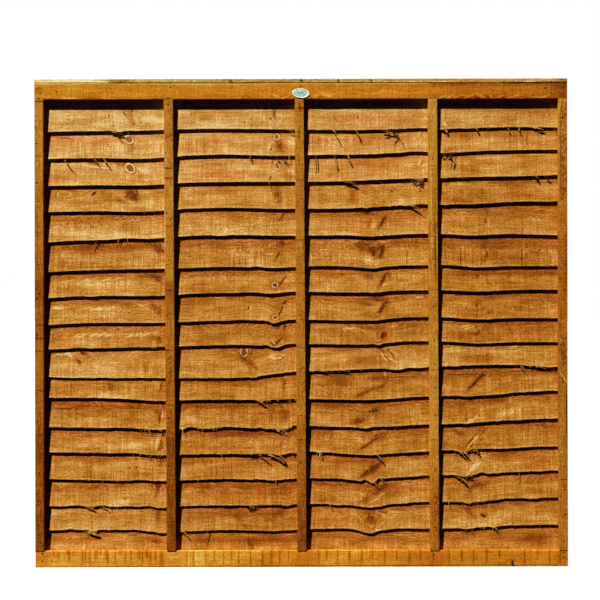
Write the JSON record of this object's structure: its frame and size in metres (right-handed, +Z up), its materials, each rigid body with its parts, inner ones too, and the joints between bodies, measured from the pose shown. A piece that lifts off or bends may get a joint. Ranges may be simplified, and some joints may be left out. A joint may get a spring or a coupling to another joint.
{
  "type": "overlap fence panel",
  "caption": "Rectangular garden fence panel of lapped waney-edged boards held between a front and a back frame of rails, stiles and battens, with a capping strip.",
  "frame": {"origin": "on the outer end face of the front left stile, at the middle of its thickness and at the panel's mid height", "axes": "front of the panel faces -Y, up is +Z, the panel runs along +X from the origin; the left end face looks along -X"},
  "size_m": [1.828, 0.0535, 1.675],
  "materials": {
    "board_wood": "sawn softwood, dip treated golden brown",
    "batten_wood": "sawn softwood, dip treated brown",
    "rail_wood": "sawn softwood, dip treated orange brown",
    "cap_wood": "sawn softwood, dip treated, faded paler on top",
    "plate_metal": "thin pressed plate, satin, bare"
  },
  "bodies": {
    "root": {"board_01": "board_wood", "board_02": "board_wood", "board_03": "board_wood", "board_04": "board_wood", "board_05": "board_wood", "board_06": "board_wood", "board_07": "board_wood", "board_08": "board_wood", "board_09": "board_wood", "board_10": "board_wood", "board_11": "board_wood", "board_12": "board_wood", "board_13": "board_wood", "board_14": "board_wood", "board_15": "board_wood", "board_16": "board_wood", "board_17": "board_wood", "left_stile": "batten_wood", "right_stile": "batten_wood", "batten_1": "batten_wood", "batten_2": "batten_wood", "batten_3": "batten_wood", "top_rail": "rail_wood", "bottom_rail": "rail_wood", "rear_left_stile": "batten_wood", "rear_right_stile": "batten_wood", "rear_batten_1": "batten_wood", "rear_batten_2": "batten_wood", "rear_batten_3": "batten_wood", "rear_top_rail": "rail_wood", "rear_bottom_rail": "rail_wood", "capping_strip": "cap_wood", "oval_plate": "plate_metal"}
  },
  "joints": []
}
